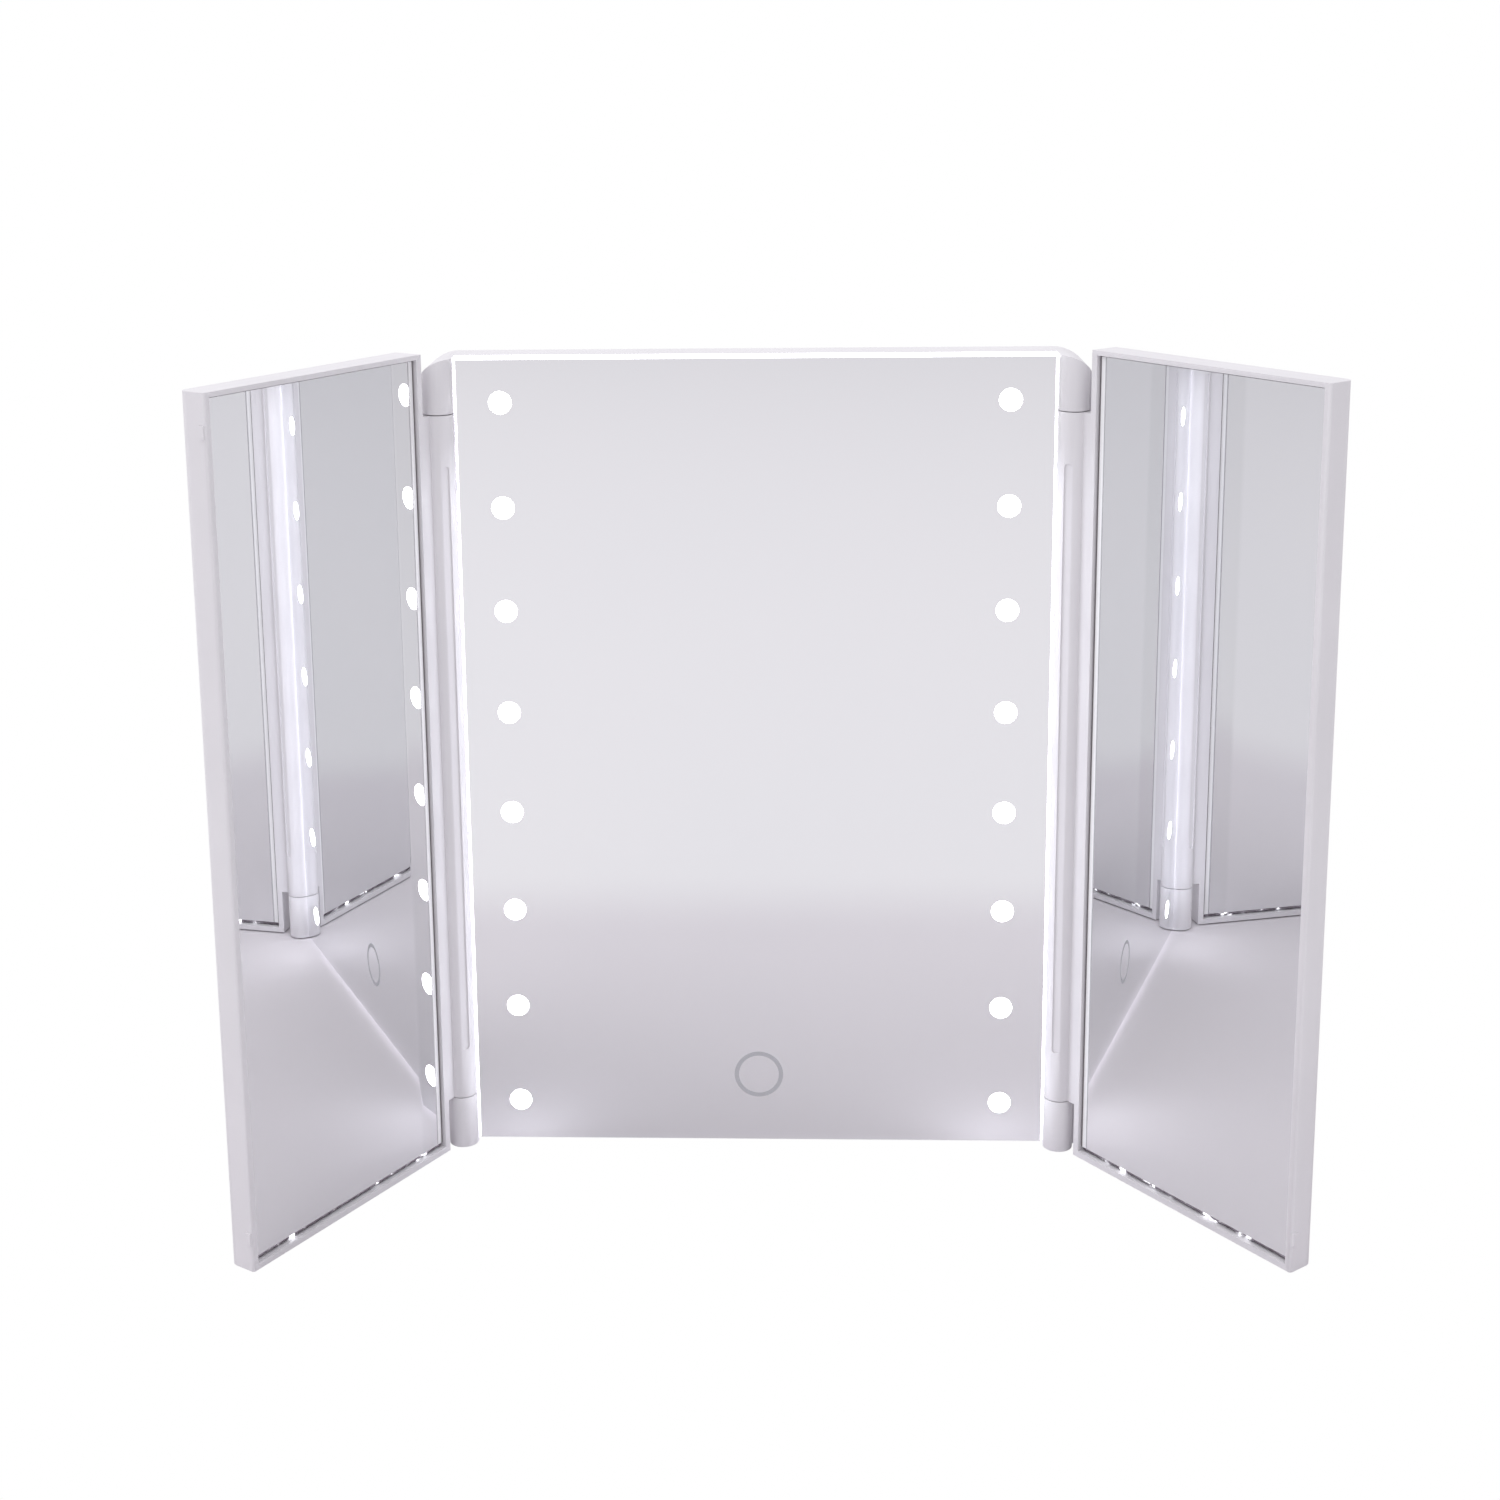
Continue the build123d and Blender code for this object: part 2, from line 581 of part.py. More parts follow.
# --- screws and foot strip ------------------------------------------------------------------
with BuildPart() as cover_screws:
    with BuildSketch(upright(SCREW_SEAT_Y)):
        with Locations(*SCREW_SPOTS):
            Circle(SCREW_HEAD_RADIUS)
    extrude(amount=-SCREW_HEAD_HEIGHT)
    with BuildSketch(upright(SCREW_SEAT_Y)):
        with Locations(*SCREW_SPOTS):
            Circle(SCREW_RADIUS)
    extrude(amount=SCREW_LENGTH)
    # cross recess in each head
    with BuildSketch(upright(SCREW_SEAT_Y + SCREW_HEAD_HEIGHT / 2)):
        with Locations(*SCREW_SPOTS):
            Rectangle(CROSS_LENGTH, CROSS_WIDTH)
            Rectangle(CROSS_WIDTH, CROSS_LENGTH)
    extrude(amount=-SCREW_HEAD_HEIGHT / 2, mode=Mode.SUBTRACT)
save(cover_screws.part, "cover_screws")

with BuildPart() as foot_strip:
    with BuildSketch():
        with Locations((0, SPLIT_Y)):
            SlotOverall(FOOT_LENGTH - 2 * FOOT_CLEARANCE, FOOT_WIDTH - 2 * FOOT_CLEARANCE)
    extrude(amount=HOUSING_BOTTOM + FOOT_RECESS)
save(foot_strip.part, "foot_strip")

# --- wires inside the housing ---------------------------------------------------------------
def wire(*points):
    """Round insulated wire led from point to point with rounded corners."""
    with BuildPart() as run:
        with BuildLine() as path:
            Polyline(*points)
        with BuildSketch(path.line ^ 0):
            Circle(WIRE_RADIUS)
        sweep(transition=Transition.ROUND)
    return run.part


# each lead leaves the open end of its connector
lead_y = BOARD_BACK + CONNECTOR_SIZE[2] + 2 * WIRE_RADIUS
wires = Compound(
    children=[
        wire(
            (s * CONNECTOR_X, lead_y, CONNECTOR_Z),
            (s * STRIP_WIRE_BEND[0], *STRIP_WIRE_BEND[1:]),
            (s * STRIP_WIRE_END[0], *STRIP_WIRE_END[1:]),
        )
        for s in (-1, 1)
    ]
    + [
        wire((-CONNECTOR_X, lead_y, CONNECTOR_Z + 3 * WIRE_RADIUS), BAY_WIRE_BEND, BAY_WIRE_END),
        wire(SWITCH_WIRE_START, SWITCH_WIRE_BEND, SWITCH_WIRE_END),
    ]
)
save(wires, "wires")

# --- hinge pins -----------------------------------------------------------------------------
for side, sign in SIGN.items():
    with BuildPart() as pins:
        for z in (KNUCKLE_BOTTOM - SEAM - PIN_IN_POST, KNUCKLE_TOP - PIN_IN_WING):
            with BuildSketch(Plane.XY.offset(z)):
                with Locations((sign * HINGE_X, HINGE_Y)):
                    Circle(PIN_RADIUS)
            extrude(amount=PIN_IN_POST + SEAM + PIN_IN_WING)
    save(pins.part, f"{side}_hinge_pins")

# --- wings ----------------------------------------------------------------------------------
WING_OUTER = WING_INNER + WING_WIDTH
WING_BACK = WING_FRONT - WING_THICKNESS
RECESS_FLOOR = WING_FRONT - WING_RECESS
RECESS_INNER = WING_INNER + LIP_HINGE
RECESS_OUTER = WING_OUTER - LIP_OUTER
RECESS_BOTTOM = WING_BOTTOM + LIP_BOTTOM
RECESS_TOP = WING_TOP - LIP_TOP
POCKET_WIDTH = (RECESS_OUTER - RECESS_INNER - 2 * LEDGE - (POCKET_COLUMNS - 1) * RIB) / POCKET_COLUMNS
POCKET_HEIGHT = (RECESS_TOP - RECESS_BOTTOM - 2 * LEDGE - (POCKET_ROWS - 1) * RIB) / POCKET_ROWS
NUBS = {"left": (UPPER_NUB_Z, LOWER_NUB_Z), "right": (LOWER_NUB_Z,)}

for side in SIGN:
    with BuildPart() as wing_frame:
        with BuildSketch(wing_plane(side, WING_BOTTOM)):
            wing_rectangle(side, WING_INNER, WING_OUTER, WING_BACK, WING_FRONT)
        extrude(amount=WING_TOP - WING_BOTTOM)
        outer_edges = wing_frame.edges().filter_by(Axis.Z).sort_by(Axis.Y)[:2]
        lip_edge, back_edge = outer_edges.sort_by(lambda edge: abs(edge.center().X))
        fillet(back_edge, OUTER_EDGE_RADIUS)
        fillet(lip_edge, LIP_EDGE_RADIUS)
        # turning knuckle and the web that carries it
        with BuildSketch(wing_plane(side, KNUCKLE_BOTTOM)):
            Circle(KNUCKLE_RADIUS)
            wing_rectangle(side, 0, WING_INNER + LIP_HINGE / 2, WING_FRONT - WEB_THICKNESS, WING_FRONT)
        extrude(amount=KNUCKLE_TOP - KNUCKLE_BOTTOM)
        # recess for the glass, then pockets that lighten the tray behind it
        with BuildSketch(wing_plane(side, RECESS_BOTTOM)):
            wing_rectangle(side, RECESS_INNER, RECESS_OUTER, RECESS_FLOOR, WING_FRONT)
        extrude(amount=RECESS_TOP - RECESS_BOTTOM, mode=Mode.SUBTRACT)
        for row in range(POCKET_ROWS):
            z = RECESS_BOTTOM + LEDGE + row * (POCKET_HEIGHT + RIB)
            with BuildSketch(wing_plane(side, z)):
                for column in range(POCKET_COLUMNS):
                    u = RECESS_INNER + LEDGE + column * (POCKET_WIDTH + RIB)
                    wing_rectangle(side, u, u + POCKET_WIDTH, RECESS_FLOOR - POCKET_DEPTH, RECESS_FLOOR)
            extrude(amount=POCKET_HEIGHT, mode=Mode.SUBTRACT)
        # bores for the bushes
        with BuildSketch(wing_plane(side, KNUCKLE_BOTTOM)):
            Circle(BUSH_RADIUS)
        extrude(amount=PIN_IN_WING + PIN_END_GAP, mode=Mode.SUBTRACT)
        with BuildSketch(wing_plane(side, KNUCKLE_TOP)):
            Circle(BUSH_RADIUS)
        extrude(amount=-(PIN_IN_WING + PIN_END_GAP), mode=Mode.SUBTRACT)
        # shallow groove with round ends down the knuckle
        level = wing_plane(side, (GROOVE_BOTTOM + GROOVE_TOP) / 2)
        tilt = radians(GROOVE_ANGLE)
        outward = level.x_dir * sin(tilt) + level.y_dir * (wing_side(side, 1) * cos(tilt))
        tangent = Plane(
            origin=level.origin + outward * (KNUCKLE_RADIUS - GROOVE_DEPTH),
            x_dir=(0, 0, 1),
            z_dir=outward,
        )
        with BuildSketch(tangent):
            SlotOverall(GROOVE_TOP - GROOVE_BOTTOM, GROOVE_WIDTH)
        extrude(amount=2 * GROOVE_DEPTH, mode=Mode.SUBTRACT)
        # moulded catch nubs on the outer edge
        for z in NUBS[side]:
            with BuildSketch(wing_plane(side, z - NUB_SIZE[1] / 2)):
                wing_rectangle(
                    side,
                    WING_OUTER - NUB_ROOT,
                    WING_OUTER + NUB_PROUD,
                    WING_FRONT - NUB_SETBACK - NUB_SIZE[0],
                    WING_FRONT - NUB_SETBACK,
                )
            extrude(amount=NUB_SIZE[1])
    save(wing_frame.part, f"{side}_wing_frame")

    glass_front = WING_FRONT - WING_GLASS_SETBACK
    glass_back = glass_front - WING_GLASS_THICKNESS
    with BuildPart() as wing_glass:
        with BuildSketch(wing_plane(side, RECESS_BOTTOM + WING_GLASS_BOTTOM_GAP)):
            wing_rectangle(
                side,
                RECESS_INNER + WING_GLASS_SIDE_GAP,
                RECESS_OUTER - WING_GLASS_SIDE_GAP,
                glass_back,
                glass_front,
            )
        extrude(amount=RECESS_TOP - WING_GLASS_SIDE_GAP - RECESS_BOTTOM - WING_GLASS_BOTTOM_GAP)
    save(wing_glass.part, f"{side}_wing_glass")

    with BuildPart() as wing_tape:
        middle = (RECESS_INNER + RECESS_OUTER) / 2
        with BuildSketch(wing_plane(side, RECESS_BOTTOM + LEDGE)):
            for u in (RECESS_INNER + LEDGE / 2, middle, RECESS_OUTER - LEDGE / 2):
                wing_rectangle(side, u - TAPE_WIDTH / 2, u + TAPE_WIDTH / 2, RECESS_FLOOR, glass_back)
        extrude(amount=RECESS_TOP - RECESS_BOTTOM - 2 * LEDGE)
    save(wing_tape.part, f"{side}_wing_tape")

    with BuildPart() as bushes:
        for z in (KNUCKLE_BOTTOM, KNUCKLE_TOP - PIN_IN_WING):
            with BuildSketch(wing_plane(side, z)):
                Circle(BUSH_RADIUS)
                Circle(PIN_RADIUS + RUNNING_CLEARANCE, mode=Mode.SUBTRACT)
            extrude(amount=PIN_IN_WING)
    save(bushes.part, f"{side}_hinge_bushes")
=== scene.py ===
"""Looks of the folding lighted make-up mirror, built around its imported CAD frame."""

import json
import math
import random

import bmesh
import bpy
from mathutils import Matrix, Vector


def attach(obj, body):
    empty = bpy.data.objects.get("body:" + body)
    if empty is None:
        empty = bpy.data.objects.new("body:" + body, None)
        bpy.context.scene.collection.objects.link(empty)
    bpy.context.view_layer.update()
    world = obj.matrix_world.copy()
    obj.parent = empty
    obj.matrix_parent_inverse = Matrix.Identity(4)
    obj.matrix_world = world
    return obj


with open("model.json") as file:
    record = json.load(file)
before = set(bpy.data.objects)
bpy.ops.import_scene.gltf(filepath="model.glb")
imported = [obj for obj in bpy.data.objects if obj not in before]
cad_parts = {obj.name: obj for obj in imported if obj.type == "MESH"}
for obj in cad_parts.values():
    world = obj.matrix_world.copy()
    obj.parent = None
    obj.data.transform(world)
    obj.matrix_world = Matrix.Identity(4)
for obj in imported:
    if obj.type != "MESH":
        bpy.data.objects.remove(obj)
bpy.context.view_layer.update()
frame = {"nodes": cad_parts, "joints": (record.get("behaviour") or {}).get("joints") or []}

MM = 0.001
SIGN = {"left": -1, "right": 1}          # each side's direction along X

# --- camera: the photograph's viewpoint -----------------------------------------------------
CAMERA_PLACE = Vector((10.1, -654.5, 335.4)) * MM
CAMERA_PITCH = math.radians(11.78)       # downwards
CAMERA_YAW = math.radians(-2.41)         # to the right of +Y
CAMERA_ROLL = math.radians(-0.71)
CAMERA_LENS = 53.46
CAMERA_SENSOR = 36.0
CAMERA_SHIFT = (0.035, -0.158)           # the photograph's object stands low in its frame

# --- mirror glasses -------------------------------------------------------------------------
SILVER_DULL = (0.880, 0.886, 0.898)
SILVER_CLEAR = (0.890, 0.893, 0.903)
CENTRE_SHADE = 0.98                      # how much each glass dims what it shows; the wings' extra, unequal dimming is painted shade
WING_SHADE = {"left": 0.975, "right": 0.96}
LEAN = {"left": -0.6, "right": -2.55}    # degrees that each wing glass leans towards closing
BOW = {"left": -4.0, "right": 0.0}       # extra lean close to the hinge edge
BOW_START = 9.6 * MM                     # from the glass's hinge edge
BOW_FULL = 8.0 * MM
BOW_PAINTED_SHADE = {"left": 0.95, "right": 1.0}  # painted shade: dims the silver in the bowed strip, which shows a brighter part of the room
BARE_RIM = 2.3 * MM                      # hinge edge left without silver
BARE_RIM_ROUGHNESS = 0.3

# --- dark bead in the gap below each wing glass: painted shade and painted glints -----------
BEAD_RADIUS = 0.62 * MM
BEAD_THINNEST = 0.75                     # of that radius
BEAD_WANDER = 0.12 * MM                  # up and down
BEAD_DROP = 0.72 * MM                    # centre line below the glass's bottom edge
BEAD_DEPTH = 0.9 * MM                    # and behind its front
BEAD_END_GAP = 0.4 * MM
BEAD_STEPS = 120
BEAD_SIDES = 10
BEAD_SEED = 7

# --- softened edges of the mouldings --------------------------------------------------------
HOUSING_EDGE = 0.25 * MM
WING_EDGE = 0.35 * MM
EDGE_SEGMENTS = 3
EDGE_ANGLE = math.radians(40)
WELD_DISTANCE = 0.01 * MM

# --- surroundings and lights ----------------------------------------------------------------
BACKDROP_WHITE = (1.0, 1.0, 1.0, 1.0)
AMBIENT_COLOUR = (0.86, 0.85, 0.88, 1.0)
AMBIENT_LEFT = 1.06                      # strength of the surroundings from each side
AMBIENT_RIGHT = 0.86
FLOOR_NEAR = (0.695, 0.668, 0.695, 1.0)
FLOOR_FAR = (0.785, 0.775, 0.785, 1.0)
FLOOR_SIZE = 12.0
FLOOR_GAP = 0.1 * MM                     # below the mirror's foot
NEAR_HALF_WIDTH = 0.275                  # the darker part of the table that the mirrors show
NEAR_FRONT = 0.212
NEAR_EDGE_SOFTNESS = 0.035
TOP_LIGHT_PLACE = Vector((-0.6, -0.2, 2.2))
TOP_LIGHT_AIM = Vector((0.0, -0.2, 0.1))
TOP_LIGHT_SIZE = (3.0, 3.0)
TOP_LIGHT_POWER = 28.0
LED_GLOW = 9.0
RIM_GLOW = 5.0
RIM_GLOW_BELOW = 3.0
RIM_DIM_HEIGHT = (2.0 * MM, 9.0 * MM)    # the lit rim fades towards the table between these

# the lit windows' light on the barrels beside them, and on the table in front; right-hand side
SPILL_COLOUR = (0.90, 0.92, 1.0)
SPILL_PLACE = Vector((76.0, -17.0, 118.0)) * MM
SPILL_AIM = SPILL_PLACE + Vector((1.0, 0.2, 0.0))
SPILL_SIZE = (200.0 * MM, 6.0 * MM)
SPILL_POWER = 0.0105
POOL_PLACE = Vector((70.0, -15.0, 24.0)) * MM
POOL_AIM = Vector((84.0, -62.0, 0.0)) * MM
POOL_SIZE = (30.0 * MM, 10.0 * MM)
POOL_POWER = 0.0036


# --- node helpers; each owner is a material or the world ------------------------------------
def new_material(name):
    """A fresh node material and its Principled shader."""
    material = bpy.data.materials.new(name)
    material.use_nodes = True
    return material, material.node_tree.nodes["Principled BSDF"]


def feed(owner, socket, value):
    """Set a socket from a node output or a plain value."""
    if isinstance(value, bpy.types.NodeSocket):
        owner.node_tree.links.new(value, socket)
    else:
        socket.default_value = value


def noise(owner, scale, detail=3.0, roughness=0.5):
    """Noise in the object's own coordinates."""
    nodes = owner.node_tree.nodes
    place = nodes.new("ShaderNodeTexCoord")
    texture = nodes.new("ShaderNodeTexNoise")
    texture.inputs["Scale"].default_value = scale
    texture.inputs["Detail"].default_value = detail
    texture.inputs["Roughness"].default_value = roughness
    feed(owner, texture.inputs["Vector"], place.outputs["Object"])
    return texture.outputs["Fac"]


def axes_of(owner, coordinates):
    """X, Y and Z of the object's own or the generated coordinates."""
    nodes = owner.node_tree.nodes
    place = nodes.new("ShaderNodeTexCoord")
    axes = nodes.new("ShaderNodeSeparateXYZ")
    feed(owner, axes.inputs["Vector"], place.outputs[coordinates])
    return axes.outputs


def ramp(owner, value, stops, interpolation="LINEAR"):
    """Colour ramp over a value; stops are (position, colour)."""
    node = owner.node_tree.nodes.new("ShaderNodeValToRGB")
    node.color_ramp.interpolation = interpolation
    while len(node.color_ramp.elements) < len(stops):
        node.color_ramp.elements.new(0.5)
    for element, (position, colour) in zip(node.color_ramp.elements, stops):
        element.position = position
        element.color = (*colour, 1.0)
    feed(owner, node.inputs["Fac"], value)
    return node.outputs["Color"]


def span(owner, value, low, high, from_low=0.3, from_high=0.7, interpolation="LINEAR"):
    """A value mapped onto a range."""
    node = owner.node_tree.nodes.new("ShaderNodeMapRange")
    node.interpolation_type = interpolation
    node.inputs["From Min"].default_value = from_low
    node.inputs["From Max"].default_value = from_high
    node.inputs["To Min"].default_value = low
    node.inputs["To Max"].default_value = high
    feed(owner, node.inputs["Value"], value)
    return node.outputs["Result"]


def bump(owner, height, strength, distance):
    """Bump from a height value."""
    node = owner.node_tree.nodes.new("ShaderNodeBump")
    node.inputs["Strength"].default_value = strength
    node.inputs["Distance"].default_value = distance
    feed(owner, node.inputs["Height"], height)
    return node.outputs["Normal"]


def arithmetic(owner, operation, first, second=0.0):
    """Arithmetic on node outputs or plain numbers."""
    node = owner.node_tree.nodes.new("ShaderNodeMath")
    node.operation = operation
    feed(owner, node.inputs[0], first)
    feed(owner, node.inputs[1], second)
    return node.outputs[0]


def dot(owner, first, second):
    """Dot product of a node output and a plain vector."""
    node = owner.node_tree.nodes.new("ShaderNodeVectorMath")
    node.operation = "DOT_PRODUCT"
    feed(owner, node.inputs[0], first)
    feed(owner, node.inputs[1], second)
    return node.outputs["Value"]


def stretched(owner, vector, factor):
    """A vector or colour times a number."""
    node = owner.node_tree.nodes.new("ShaderNodeVectorMath")
    node.operation = "SCALE"
    feed(owner, node.inputs[0], vector)
    feed(owner, node.inputs["Scale"], factor)
    return node.outputs[0]


def added(owner, first, second):
    """Sum of a node output and a plain vector."""
    node = owner.node_tree.nodes.new("ShaderNodeVectorMath")
    node.operation = "ADD"
    feed(owner, node.inputs[0], first)
    feed(owner, node.inputs[1], second)
    return node.outputs[0]


def mixed(owner, factor, first, second, data_type="FLOAT"):
    """Two node outputs or plain values mixed by a factor."""
    node = owner.node_tree.nodes.new("ShaderNodeMix")
    node.data_type = data_type
    feed(owner, node.inputs["Factor"], factor)
    first_input, output = {"FLOAT": (2, 0), "VECTOR": (4, 1), "RGBA": (6, 2)}[data_type]
    feed(owner, node.inputs[first_input], first)
    feed(owner, node.inputs[first_input + 1], second)
    return node.outputs[output]


# --- surfaces -------------------------------------------------------------------------------
def darker(colour, factor):
    return tuple(factor * c for c in colour)


def moulded(name, colour, roughness, grain_scale, grain_depth, contrast=0.03):
    """Moulded plastic or rubber: faint colour drift, uneven gloss and a fine surface grain."""
    material, shader = new_material(name)
    stops = [(0.35, darker(colour, 1 - contrast)), (0.65, colour)]
    feed(material, shader.inputs["Base Color"], ramp(material, noise(material, 35.0), stops))
    gloss = span(material, noise(material, 120.0), roughness * 0.9, roughness * 1.15)
    feed(material, shader.inputs["Roughness"], gloss)
    grain = bump(material, noise(material, grain_scale, 4.0), 0.25, grain_depth)
    feed(material, shader.inputs["Normal"], grain)
    return material


def metal(name, colour, roughness):
    """Drawn or plated metal with fine uneven gloss."""
    material, shader = new_material(name)
    shader.inputs["Metallic"].default_value = 1.0
    stops = [(0.35, darker(colour, 0.9)), (0.65, colour)]
    feed(material, shader.inputs["Base Color"], ramp(material, noise(material, 200.0), stops))
    gloss = span(material, noise(material, 900.0), roughness * 0.8, roughness * 1.3)
    feed(material, shader.inputs["Roughness"], gloss)
    return material


def silver_tint(material, shade):
    """Colour of the silver, very slightly uneven."""
    stops = [(0.3, darker(SILVER_DULL, shade)), (0.7, darker(SILVER_CLEAR, shade))]
    return ramp(material, noise(material, 14.0, 2.0), stops)


def wiping_haze(material):
    """Roughness of clean glass: the faintest haze from wiping."""
    return span(material, noise(material, 22.0, 4.0), 0.0, 0.012, 0.45, 0.75)


def centre_mirror():
    """Silvered glass of the centre panel."""
    material, shader = new_material("silvered_glass")
    shader.inputs["Metallic"].default_value = 1.0
    feed(material, shader.inputs["Base Color"], silver_tint(material, CENTRE_SHADE))
    feed(material, shader.inputs["Roughness"], wiping_haze(material))
    return material


def wing_directions(side):
    """Unit vectors from a wing's hinge to its outer edge, and out of its glass, at rest."""
    joint = next(j for j in frame["joints"] if j["name"] == f"{side}_wing_hinge")
    fold = math.radians(joint["range_deg"][1])
    out = Vector((SIGN[side] * math.cos(fold), -math.sin(fold), 0.0))
    facing = Vector((-SIGN[side] * math.sin(fold), -math.cos(fold), 0.0))
    return out, facing


def wing_mirror(side):
    """A wing's silvered glass, leaning and bowed in its tray, bare along its hinge edge."""
    out, facing = wing_directions(side)
    corners = [v.co for v in frame["nodes"][f"{side}_wing_glass"].data.vertices]
    hinge_edge = min(corner.dot(out) for corner in corners)
    material, shader = new_material(f"{side}_silvered_glass")
    tree = material.node_tree
    place = tree.nodes.new("ShaderNodeTexCoord").outputs
    inwards = arithmetic(material, "SUBTRACT", dot(material, place["Object"], out), hinge_edge)

    # lean and bow of the glass's front
    flat_slope = math.tan(math.radians(LEAN[side]))
    bowed_slope = math.tan(math.radians(LEAN[side] + BOW[side]))
    slope = span(material, inwards, bowed_slope, flat_slope, BOW_FULL, BOW_START)
    tilted = added(material, stretched(material, out, slope), facing)
    is_front = arithmetic(material, "GREATER_THAN", dot(material, place["Normal"], facing), 0.9)
    turn = tree.nodes.new("ShaderNodeVectorTransform")
    turn.vector_type = "NORMAL"
    turn.convert_from = "OBJECT"
    turn.convert_to = "WORLD"
    feed(material, turn.inputs[0], mixed(material, is_front, place["Normal"], tilted, "VECTOR"))
    feed(material, shader.inputs["Normal"], turn.outputs[0])

    # bare rim: a pale strip with painted shade as thin dark lines on both sides
    across = arithmetic(material, "DIVIDE", inwards, BARE_RIM)
    bare_rim_with_painted_shade = ramp(
        material,
        across,
        [(0.0, (0.16, 0.14, 0.15)), (0.16, (0.86, 0.86, 0.87)), (0.80, (0.42, 0.41, 0.43))],
        "CONSTANT",
    )
    silvered = arithmetic(material, "GREATER_THAN", across, 1.0)
    # painted shade: the silver's colour is darkened across the bowed strip next to the hinge
    # edge
    bow_painted_shade = span(material, inwards, BOW_PAINTED_SHADE[side], 1.0, BOW_FULL, BOW_START)
    tint = stretched(material, silver_tint(material, WING_SHADE[side]), bow_painted_shade)
    roughness = mixed(material, silvered, BARE_RIM_ROUGHNESS, wiping_haze(material))
    feed(material, shader.inputs["Base Color"], mixed(material, silvered, bare_rim_with_painted_shade, tint, "RGBA"))
    feed(material, shader.inputs["Metallic"], silvered)
    feed(material, shader.inputs["Roughness"], roughness)
    return material


def glowing(name, colour, strength):
    """Milky plastic lit from inside, a touch brighter where it is thinner."""
    material, shader = new_material(name)
    shader.inputs["Base Color"].default_value = (0.95, 0.95, 0.97, 1.0)
    shader.inputs["Roughness"].default_value = 0.45
    tint = ramp(material, noise(material, 90.0), [(0.3, darker(colour, 0.97)), (0.7, colour)])
    feed(material, shader.inputs["Emission Color"], tint)
    shader.inputs["Emission Strength"].default_value = strength
    return material


def lit_rim():
    """The light panel's bright edge, dimmer along the bottom."""
    material = glowing("lit_panel", (0.95, 0.96, 1.0), RIM_GLOW)
    shader = material.node_tree.nodes["Principled BSDF"]
    height = axes_of(material, "Object")["Z"]
    glow = span(material, height, RIM_GLOW_BELOW, RIM_GLOW, *RIM_DIM_HEIGHT)
    feed(material, shader.inputs["Emission Strength"], glow)
    return material


def painted_gap_bead_material():
    """Painted shade for the gap below a wing glass: mostly dark, with painted glints that glow.
    """
    material, shader = new_material("painted_gap_shade_and_glints")
    shader.inputs["Metallic"].default_value = 0.85
    shader.inputs["Roughness"].default_value = 0.12
    # painted shade in the dark stops; the white stop is a painted glint
    shade_and_glint_colour = ramp(
        material,
        noise(material, 260.0, 2.0),
        [(0.40, (0.20, 0.17, 0.20)), (0.56, (0.34, 0.31, 0.35)), (0.62, (1.0, 1.0, 1.0))],
    )
    feed(material, shader.inputs["Base Color"], shade_and_glint_colour)
    # painted glints: the brightest patches glow though no lamp lights them
    painted_glint = span(material, noise(material, 260.0, 2.0), 0.0, 2.5, 0.60, 0.66)
    feed(material, shader.inputs["Emission Strength"], painted_glint)
    shader.inputs["Emission Color"].default_value = (0.95, 0.96, 1.0, 1.0)
    feed(material, shader.inputs["Normal"], bump(material, noise(material, 700.0), 0.6, 0.0004))
    return material


def give(material, *nodes):
    """Put one material on whole CAD nodes."""
    for name in nodes:
        piece = frame["nodes"][name]
        if not piece.material_slots:
            piece.data.materials.append(material)
        for slot in piece.material_slots:
            slot.link = "OBJECT"
            slot.material = material


def give_both(material, node):
    """Put one material on the left and the right copy of a node."""
    give(material, *(f"{side}_{node}" for side in SIGN))


# --- materials of the CAD pieces ------------------------------------------------------------
white_plastic = moulded("white_plastic", (0.735, 0.72, 0.745), 0.34, 2600.0, 0.00003)
give(white_plastic, "front_frame", "rear_cover", "battery_door")
give_both(white_plastic, "wing_frame")
give(centre_mirror(), "centre_glass")
for wing_side in SIGN:
    give(wing_mirror(wing_side), f"{wing_side}_wing_glass")
give(glowing("lit_window", (0.97, 0.98, 1.0), LED_GLOW), "led_windows")
give(lit_rim(), "light_panel")
give(moulded("ring_print", (0.50, 0.50, 0.53), 0.5, 4000.0, 0.00001), "touch_ring")
give_both(moulded("led_package", (0.92, 0.86, 0.55), 0.4, 3000.0, 0.00002), "leds")
give_both(moulded("strip_board", (0.88, 0.88, 0.86), 0.5, 3000.0, 0.00002), "led_strip")
give(moulded("solder_mask", (0.03, 0.20, 0.08), 0.35, 3000.0, 0.00002, 0.15), "touch_board")
black_moulding = moulded("black_moulding", (0.02, 0.02, 0.022), 0.45, 2500.0, 0.00003, 0.2)
give(black_moulding, "board_parts", "switch_body")
give(moulded("knob_moulding", (0.03, 0.03, 0.033), 0.5, 1800.0, 0.00006, 0.2), "switch_knob")
give(moulded("foot_rubber", (0.62, 0.62, 0.63), 0.75, 1500.0, 0.00008, 0.08), "foot_strip")
give(moulded("wire_jacket", (0.60, 0.03, 0.02), 0.45, 1500.0, 0.00003, 0.1), "wires")
give_both(moulded("foam_tape", (0.75, 0.75, 0.73), 0.9, 1200.0, 0.0001, 0.1), "wing_tape")
give_both(moulded("bush_plastic", (0.8, 0.8, 0.78), 0.4, 2500.0, 0.00002), "hinge_bushes")
give(moulded("cell_jacket", (0.03, 0.035, 0.05), 0.3, 2500.0, 0.00001, 0.15), "battery_cells")
nickel_plate = metal("nickel_plate", (0.78, 0.76, 0.72), 0.28)
give(nickel_plate, "battery_contacts", "battery_springs", "touch_spring")
give(metal("zinc_screw", (0.62, 0.62, 0.62), 0.32), "cover_screws")
give_both(metal("ground_pin", (0.70, 0.70, 0.71), 0.2), "hinge_pins")


